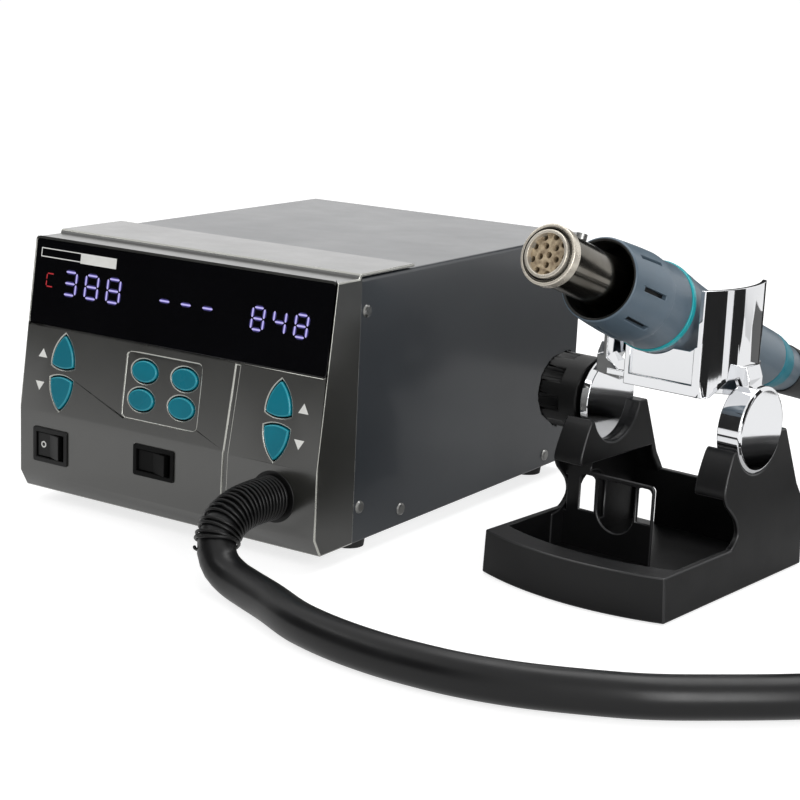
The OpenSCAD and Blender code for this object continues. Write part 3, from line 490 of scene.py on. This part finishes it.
# nylon switch parts: black, slightly grainy
switch_nylon = finish_of("black nylon", "090909", 0.42, grain=0.5, depth=0.01, ior=1.34)
# nylon of the set switch: duller and blacker
set_nylon = finish_of("dull black nylon", "060606", 0.55, grain=0.5, depth=0.01, ior=1.2)
# glass-filled nylon stand: satin black with a fine even grain
stand_nylon = finish_of("satin black moulded nylon", "0a0a0b", 0.4, grain=0.6, depth=0.012,
                        ior=1.4)
# its edges in a paler grey: a painted highlight
stand_edge_highlight = finish_of("painted highlight on black nylon edges", "262627", 0.32)
# nitrile rubber: matt, slightly dusty
foot_rubber = finish_of("matt black rubber", "121212", 0.7, grain=0.8, depth=0.02)
# silicone hose jacket: smooth with a soft wide highlight
hose_skin = finish_of("black silicone hose", "0a0a0b", 0.33, grain=1.2, depth=0.01,
                      cloud_mm=25, ior=1.38)
# phosphated spring wire: near black metal
spring_steel = finish_of("blackened spring wire", "161616", 0.36, metal=0.6)
# zinc-plated screw steel
screw_steel = finish_of("plated screw steel", "8b8b89", 0.3, metal=1.0)
# bright chrome on polished steel
chrome = finish_of("bright chrome plate", "e8e9eb", 0.035, metal=1.0, rough_spread=0.012,
                   cloud=0.0)
# drawn stainless tube: a grey far darker than bare steel, a painted reflection of the dark set,
# with one pale streak
tube_steel = finish_of("drawn stainless tube", "76736c", 0.18, metal=1.0, second="645f57",
                       cloud_mm=22)
# turned stainless ring: brighter than the tube it sits on
ring_steel = finish_of("turned stainless ring", "cfc8bb", 0.28, metal=0.6, cloud_mm=15)
# fired ceramic with a fine dark brown mottle, painted shade for its honeycomb cells, and a
# near-black ring of painted shadow where the gap between it and the tube lies
ceramic = finish_of("fired ceramic", "b9a88c", 0.75, grain=0.4, depth=0.02, second="5f4c38",
                    cloud_mm=2.2, bands=((10.6, 12.0, "060505"),))
# nylon gun shell, blue grey, lightly grained
shell_nylon = finish_of("blue grey moulded nylon", "5c6a75", 0.36, grain=0.5, depth=0.008)
# the same nylon on the guard, near black inside its bore: painted shade
guard_nylon = finish_of("blue grey nylon with a black bore", "53626e", 0.36, grain=0.5,
                        depth=0.008, bands=((0, 18.9, "131311"),))
# glossy accent: the brightest colour on the gun
accent_abs = finish_of("bright teal abs", "16a5ad", 0.25, second="129aa2")
# soft grip band: darker teal, half matt
band_tpe = finish_of("dark teal soft grip", "0c6f7f", 0.4, grain=0.5, depth=0.01)
# moulded boot: grainy black, a little paler than the hose
boot_rubber = finish_of("black moulded boot", "121213", 0.5, grain=0.7, depth=0.015)
# inside pieces: green board, dark varnished core, pale fan
board_resist = finish_of("green solder resist", "12492c", 0.35)
iron_core = finish_of("varnished iron core", "3a3836", 0.5, metal=0.5)
fan_nylon = finish_of("natural nylon fan", "b9b8b0", 0.45)
# printed marks: flat white, not quite as bright as the paper
print_white = finish_of("white screen print", "d8d8d4", 0.55)
# a lit segment: pale in its middle, blue round it, with a dark haze in the window
glow_core = glow_of("lit segment core", "bdb6ec")
glow_blue = glow_of("blue glow round a segment", "6a5cc0")
glow_haze = glow_of("dark blue haze round a segment", "0a0446")
glow_red = glow_of("lit red segment", "b0101c")

# hose route, as the construction has it: down from the port, flat on the bench at its own
# radius and a little more, and, in the stand's frame, up into the gun's boot
HOSE_R, LYING = 9.0, 9.2
PORT = [69.5, 0, 34]
MAIN = [[69.5, 12, 34], [69.5, 4, 34], [69.5, -4, 34.1], [69.5, -16, 34.2],
        [69.6, -28, 33], [70, -38.5, 28.5], [71.5, -44.5, 21], [76.5, -47.5, 14],
        [86, -50.5, 10.2]]
MAIN += [[x, y, LYING] for x, y in (
    (98, -55), (117, -63.5), (140, -75), (163, -81.5), (186, -84.5), (206, -84.5),
    (226, -82.5), (248, -77), (270, -68), (294, -55.5), (318, -37), (342, -16), (362, 6),
    (380, 34), (393, 66), (401, 100), (405, 136), (406.5, 172), (406, 208), (404, 240),
    (400, 270), (393.5, 298), (383, 325), (362, 348.5))]
TAIL = [[142, 323, LYING], [126, 323, LYING], [114, 323, LYING], [99, 321.5, 9.8],
        [85, 317, 12.8], [72, 308.5, 19.6], [62, 297, 29], [55.5, 283, 39.6],
        [52.2, 268, 49.6], [51, 252, 58.2], [50.85, 236, 65.1], [50.85, 220.45, 70.82],
        [50.85, 206.35, 75.95], [50.85, 192.26, 81.08]]
# curve steps for each stretch of the route, and metres from ring to ring on the hose and from
# place to place along the spring
ROUTE_STEPS, RING_STEP, FINE_STEP = 16, 0.004, 0.0002
# in metres: the stretch that goes with the gun, the stretch before it, and the end part of that
# one which turns with the cradle
AT_GUN, RISING, TURNING = 0.112, 0.154, 0.072


def lay_hose():
    """Three stretches of one hose: on the bench, up to the gun, and into its boot."""
    route = np.concatenate([ground(MAIN), stand(TAIL)])
    path, length = even_path(smooth_path(route, ROUTE_STEPS), RING_STEP)
    end = len(path) - 1
    step = length / end
    last, lift, bend = (int(round(arc / step)) for arc in (AT_GUN, RISING, TURNING))
    b = end - last
    a = b - lift
    for name, i, j, leave in (("hose_on_bench", 0, a, ground(PORT)),
                              ("hose_rising", a, b, path[a]),
                              ("hose_at_gun", b, end, path[b])):
        obj = paint(tube(name, path[i:j + 1], HOSE_R / 1000), hose_skin)
        if i == 0:
            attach(obj, "station")
            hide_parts("hose_main")
        else:
            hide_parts("hose_tail")
            if j == b:
                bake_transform(obj)
            else:
                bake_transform(obj)
    return path


# bend spring, in metres: where it starts on the hose, its length, the radius its wire runs at
# and the wire's own radius
SPRING_AT, SPRING_LONG, SPRING_R, WIRE_R = 0.0134, 0.0485, 0.01005, 0.0008
SPRING_TURNS, STEPS_A_TURN, WIRE_SIDES = 20, 30, 10


def wind_spring(path):
    """The bend spring: a helix round the hose's own path, side * cos a + lift * sin a at the
    spring's radius, and a circle of wire carried along it."""
    dense = even_path(path, FINE_STEP)[0]
    side, lift = path_frames(dense)
    at = SPRING_AT + np.linspace(0, SPRING_LONG, SPRING_TURNS * STEPS_A_TURN + 1)
    pick = np.clip(np.searchsorted(run_along(dense), at), 0, len(dense) - 1)
    a = np.linspace(0, SPRING_TURNS * 2 * math.pi, len(at))[:, None]
    out = side[pick] * np.cos(a) + lift[pick] * np.sin(a)
    mid = dense[pick] + SPRING_R * out
    along = unit(np.gradient(mid, axis=0))
    w = unit(np.cross(along, out))
    pts = rings_along(mid, np.cross(w, along), w, WIRE_R, WIRE_SIDES).reshape(-1, 3)
    ends = [list(range(WIRE_SIDES))[::-1], list(range(len(pts) - WIRE_SIDES, len(pts)))]
    obj = add_piece("bend_spring_wire", pts, grid_faces(len(mid), WIRE_SIDES) + ends)
    mesh_outwards(obj)
    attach(obj, "station")
    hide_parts("bend_spring")
    return paint(obj, spring_steel)


aim_camera()
hose_path = lay_hose()
wind_spring(hose_path)

# station: rounded copies of the moulded and folded parts; the bezel, the keys and the stand carry
# a painted highlight on their rounded edges
with_edge_highlight(softened("bezel_moulding", "front_bezel", 0.8, "station", segments=3),
       bezel_abs, bezel_edge_highlight)
paint(softened("window_pane", "display_window", 0.35, "station"), window_acrylic)
paint(softened("cover_shell", "top_cover", 0.5, "station"), cover_paint)
for key in ("temp_up_key", "temp_down_key", "air_up_key", "air_down_key", "channel_1_key",
            "channel_2_key", "channel_3_key", "channel_4_key"):
    with_edge_highlight(softened(key.replace("_key", "_cap"), key, 0.7, key, segments=4),
           key_abs, key_edge_highlight)
for node, body, mat in (("power_switch_frame", "station", switch_nylon),
                        ("set_switch_frame", "station", set_nylon),
                        ("power_rocker", "power_rocker", switch_nylon),
                        ("set_rocker", "set_rocker", set_nylon)):
    paint(softened(node + "_part", node, 0.35, body), mat)
with_edge_highlight(softened("stand_moulding", "stand_base", 0.8, "station", segments=3),
       stand_nylon, stand_edge_highlight)
# web inside the left cheek's opening: it closes the round top and the back of the opening
web = prism("cheek_web", [[80, 37], [80, 35.2], [84.3, 33.2], [90.2, 31.6], [90.6, 8.5],
                          [99.5, 8.5], [99.5, 37]],
            lambda p: stand(np.stack([p[..., 2], p[..., 0], p[..., 1]], -1)), 2.6, 3.4)
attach(web, "station")
paint(web, stand_nylon)
paint(softened("cradle_plate", "cradle", 0.45, "cradle", segments=3), chrome)
paint(softened("knob_grip", "tilt_knob", 0.6, "tilt_knob", segments=3),
      switch_nylon)
paint(softened("tube_core", "heater_core", 0.2, "gun"), ceramic)
paint(softened("gland_ring", "hose_gland", 0.3, "station"), switch_nylon)

# carried-over nodes get their real finishes
for node, mat in (("display_modules", switch_nylon), ("control_board", board_resist),
                  ("base_chassis", zinc), ("rear_panel", zinc), ("mains_inlet", switch_nylon),
                  ("rubber_feet", foot_rubber), ("cover_screws", screw_steel),
                  ("blower_housing", switch_nylon), ("blower_cover", switch_nylon),
                  ("blower_impeller", fan_nylon), ("blower_motor", screw_steel),
                  ("air_duct", switch_nylon), ("power_board", board_resist),
                  ("transformer", iron_core), ("stand_pads", foot_rubber),
                  ("clamp_bolt", screw_steel), ("pivot_washer", screw_steel),
                  ("tube_clamp_screw", screw_steel), ("heater_mount", ceramic),
                  ("air_tube", screw_steel)):
    paint(nodes[node], mat)


# gun: turned forms with small rounded corners
def turned(name, node, profile, mat, radius, sides=128):
    """A turned piece of the gun: a closed profile of (radius, distance back), its corners
    rounded by the radius."""
    obj = revolved(name, rounded_profile(profile, radius), sides)
    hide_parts(node)
    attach(obj, "gun")
    return paint(obj, mat)


turned("heater_pipe", "heater_tube", [[11.6, -43.8], [12.4, -43.8], [12.4, 46], [11.6, 46]],
       tube_steel, 0.2)
turned("outlet_ring", "outlet_collar", [[12.42, -43.8], [13.4, -43.8], [13.8, -43.4],
                                        [13.8, -38.8], [12.42, -38.8]], ring_steel,
       0.3)
turned("mouth_inner_ring", "heater_core", [[9.2, -45.3], [10.6, -45.3], [10.8, -44.9],
                                           [10.8, -41.5], [9.2, -41.5]], ring_steel,
       0.3)
turned("bright_ring", "accent_ring", [[19.15, 49.7], [21.6, 49.7], [21.9, 50.2], [21.9, 52.6],
                                      [21.6, 52.95], [19.15, 52.95]], accent_abs,
       0.3)
turned("handle_body", "handle_shell",
       [[16.6, 40], [19.1, 40], [19.1, 53], [20.9, 53], [21, 53.6], [21, 60], [20.1, 66],
        [19.1, 76], [18.1, 88], [17, 107], [16.2, 130], [15.6, 152], [15.3, 165.9],
        [12.6, 165.9], [12.3, 192], [10.6, 192], [10.6, 168], [13, 160], [14.6, 107],
        [16.6, 62]], shell_nylon, 3.0)
turned("band_sleeve", "grip_band", [[12.65, 166], [15.2, 166], [15.1, 170], [14.2, 176],
                                    [13.2, 180], [12.65, 180]], band_tpe, 0.6)
turned("boot_sleeve", "tail_boot",
       [[8.6, 184], [10.5, 184], [10.5, 192.05], [13, 192.05], [12.8, 200], [11.6, 215],
        [10.6, 228], [9.2, 228], [9.2, 198], [8.6, 198]], boot_rubber, 0.5)
paint(softened("guard_body", "guard_shell", 0.4, "gun", segments=3,
               angle=24), guard_nylon)
# black sheet just inside the guard's wall, behind its eight slots: painted shade of the guard's
# inside
turned("guard_slot_shade", "guard_shell", [[18.05, 6.6], [18.5, 6.6], [19.1, 26], [18.65, 26]],
       switch_nylon, 0.1, sides=96)


# lit digits and printed marks
def bar(x0, s0, x1, s1, half):
    """A lit segment: a six-sided bar from one point to another with pointed ends."""
    a, b = np.array([x0, s0]), np.array([x1, s1])
    d = (b - a) / np.linalg.norm(b - a)
    n = np.array([-d[1], d[0]]) * half
    e = d * half
    return [a, a + e + n, b - e + n, b, b - e - n, a + e - n]


# thickness of a lit layer and of printed ink, and how far an upright bar stops before a corner
FILM, INK, END_GAP = 0.04, 0.05, 0.3
SEGMENTS = {"a": (0, 2, 1, 2), "b": (1, 2, 1, 1), "c": (1, 1, 1, 0), "d": (0, 0, 1, 0),
            "e": (0, 1, 0, 0), "f": (0, 2, 0, 1), "g": (0, 1, 1, 1)}
LIT = {"3": "abcdg", "4": "bcfg", "8": "abcdefg", "-": "g", "C": "adef"}


def digits(name, text, starts, s0, w, h, lean, mat, half, lift, inset=0.8):
    """Seven-segment figures: bars between the corners of two stacked boxes, leaning to the
    right by the given degrees; the level bars stop short of the upright ones by the inset.
    They lie on the window at the lift."""
    parts = []
    for ch, x in zip(text, starts):
        for key in LIT[ch]:
            x0, y0, x1, y1 = SEGMENTS[key]
            p = np.array([[x0 * w, y0 * h / 2], [x1 * w, y1 * h / 2]])
            d = (p[1] - p[0]) / np.linalg.norm(p[1] - p[0]) * (inset if y0 == y1 else END_GAP)
            p = np.array([p[0] + d, p[1] - d])
            p[:, 0] += x + p[:, 1] * math.tan(math.radians(lean))
            p[:, 1] += s0
            parts.append(prism(name, bar(*p[0], *p[1], half), panel, lift, lift + FILM))
    obj = joined(name, parts)
    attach(obj, "station")
    return paint(obj, mat)


for part, mat, half, lift in (("haze", glow_haze, 1.15, 0.01), ("glow", glow_blue, 0.6, 0.06),
                              ("core", glow_core, 0.36, 0.11)):
    digits("left_digits_" + part, "388", (-72.75, -58.25, -43.75), 61.9, 8.05, 11.5, 2.0,
           mat, half, lift)
    digits("right_digits_" + part, "848", (47.2, 59.9, 72.6), 61.2, 6.85, 10.5, 3.2,
           mat, half, lift)
    digits("dashes_" + part, "---", (-10.65, 2.75, 16.2), 61.5, 8.0, 11.2, 2.5, mat, half, lift)
digits("lit_unit", "C", (-84.6,), 64.5, 4.6, 6.6, 2.0, glow_red, 0.3, 0.06,
       END_GAP)


def printed(name, outlines, lift):
    """Flat prints on the front's upper face, in white ink."""
    obj = joined(name, [prism(name, o, panel, lift, lift + INK) for o in outlines])
    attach(obj, "station")
    return paint(obj, print_white)


def box(x0, s0, x1, s1):
    """The outline of a rectangle between two corners."""
    return [[x0, s0], [x1, s0], [x1, s1], [x0, s1]]


# triangles by the key pairs: middle, base line, tip
printed("printed_triangles",
        [[[x - 2.95, s], [x + 2.95, s], [x, tip]][::1 if tip > s else -1] for x, s, tip in
         ((-81.95, 28.2, 32.7), (-82.3, 15.7, 11.1), (83.1, 26.25, 31.1), (82.5, 13.7, 9.05))],
        0.01)
# badge on the window: a thin outline and a plain white plate beside it
printed("bare_badge", [box(-63, 78.6, -39.3, 83.85), box(-89.8, 83.35, -63, 83.85),
                       box(-89.8, 79.1, -63, 79.6), box(-89.8, 79.6, -89.3, 83.35)],
        0.02)
# off sign on the power rocker's flush wing
ring = revolved("off_sign", [[1.0, -0.04], [1.75, -0.04], [1.75, 0.02], [1.0, 0.02]],
                40, lambda p: front(p + np.array([-77.7, 25.25, 0.0])))
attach(ring, "power_rocker")
paint(ring, print_white)


# floor, world and lamps
def studio():
    """A plain pale floor that keeps the shadow, a white world, cards that only reflections
    show, and three soft lamps."""
    scene = bpy.context.scene
    scene.view_settings.view_transform = "Standard"
    far = 60
    obj = add_piece("floor", [(-far, -far, 0), (far, -far, 0), (far, far, 0), (-far, far, 0)],
                    [(0, 1, 2, 3)], smooth=False)
    obj.location.z = -0.0002
    mat = bpy.data.materials.new("white paper floor")
    t, out = clear_tree(mat, "ShaderNodeOutputMaterial")
    # paper white for the camera, a little dimmer for reflections, matt grey for the light itself
    rays = add_node(t, "ShaderNodeLightPath")
    direct = add_node(t, "ShaderNodeMath", {"operation": "MULTIPLY"},
                      i0=rays.outputs["Is Camera Ray"], i1=0.74)
    lift = add_node(t, "ShaderNodeMath", {"operation": "MULTIPLY_ADD"},
                    i0=rays.outputs["Is Glossy Ray"], i1=0.45, i2=direct.outputs[0])
    matt = add_node(t, "ShaderNodeBsdfDiffuse", Color=(0.5, 0.5, 0.5, 1))
    glow = add_node(t, "ShaderNodeEmission", Color=(1, 1, 1, 1), Strength=lift.outputs[0])
    both = add_node(t, "ShaderNodeAddShader", i0=matt.outputs[0], i1=glow.outputs[0])
    t.links.new(both.outputs[0], out.inputs[0])
    paint(obj, mat)

    world = bpy.data.worlds.new("white studio")
    scene.world = world
    t, out = clear_tree(world, "ShaderNodeOutputWorld")
    # full white where it is seen, about half as strong where it lights the set
    rays = add_node(t, "ShaderNodeLightPath")
    seen = add_node(t, "ShaderNodeMath", {"operation": "MAXIMUM"},
                    i0=rays.outputs["Is Camera Ray"], i1=rays.outputs["Is Glossy Ray"])
    seen = add_node(t, "ShaderNodeMath", {"operation": "MAXIMUM"}, i0=seen.outputs[0],
                    i1=rays.outputs["Is Transmission Ray"])
    power = add_node(t, "ShaderNodeMapRange", Value=seen.outputs[0],
                     **{"i1": 0.0, "i2": 1.0, "i3": 0.55, "i4": 1.0})
    sky = add_node(t, "ShaderNodeBackground", Color=(1, 1, 1, 1), Strength=power.outputs[0])
    t.links.new(sky.outputs[0], out.inputs[0])

    card_rough, flag_top = 0.9, 0.6
    card = finish_of("black card", "101010", card_rough)

    def unseen(obj):
        """Kept for reflections alone."""
        obj.visible_camera = obj.visible_diffuse = obj.visible_shadow = False

    def flag(name, foot, azimuth, distance, width, low, high):
        """A black card beside the set, square to its azimuth and seen in reflections alone."""
        a = math.radians(azimuth)
        mid = Vector((foot[0] + distance * math.cos(a), foot[1] + distance * math.sin(a), 0))
        side = Vector((-math.sin(a), math.cos(a), 0)) * width / 2
        corners = [mid - side, mid + side]
        verts = [c + Vector((0, 0, low)) for c in corners]
        verts += [c + Vector((0, 0, high)) for c in corners[::-1]]
        unseen(paint(add_piece(name, verts, [(0, 1, 2, 3)], smooth=False), card))

    # black cards round the cradle for its chrome, and one before the station's front
    cradle_foot, station_foot = (0.155, -0.008), (-0.086, -0.13)
    flag("flag_right", cradle_foot, 5, 0.46, 0.28, 0.001, flag_top)
    flag("flag_right_back", cradle_foot, 37.5, 0.46, 0.14, 0.001, flag_top)
    flag("flag_back", cradle_foot, 104, 0.50, 0.22, 0.001, flag_top)
    flag("flag_front", station_foot, -130, 0.75, 1.5, 0.06, 0.75)
    # what the chrome and the case side mirror of the ground: grey near the set, a black edge,
    # dark behind
    for name, x0, y0, x1, y1, shade in (("ground_near", 0.012, -0.12, 0.26, 0.35, "b4b4b4"),
                                        ("ground_edge", 0.26, -0.12, 0.305, 0.35, "101010"),
                                        ("ground_far", 0.012, 0.35, 0.45, 0.75, "484848")):
        sheet = add_piece(name, [(x, y, 0) for x, y in box(x0, y0, x1, y1)], [(0, 1, 2, 3)],
                          smooth=False)
        unseen(paint(sheet, finish_of(name + " card", shade, card_rough)))

    def lamp(name, at, aim, size, watts):
        """A rectangular soft lamp that looks from one point at another."""
        data = bpy.data.lights.new(name, "AREA")
        data.shape = "RECTANGLE"
        data.size, data.size_y = size
        data.energy = watts
        lit = bpy.data.objects.new(name, data)
        bpy.context.collection.objects.link(lit)
        lit.location = at
        lit.rotation_euler = (Vector(aim) - Vector(at)).to_track_quat("-Z", "Y").to_euler()

    lamp("soft_top", (0.1, 0.5, 1.5), (0.05, 0.05, 0.05), (1.4, 1.0), 12)
    lamp("soft_left", (-1.1, -0.9, 0.9), (0, 0, 0.08), (0.8, 0.8), 5)
    lamp("soft_right", (0.95, -0.75, 0.42), (0.02, -0.1, 0.07), (0.35, 0.7), 6)


studio()
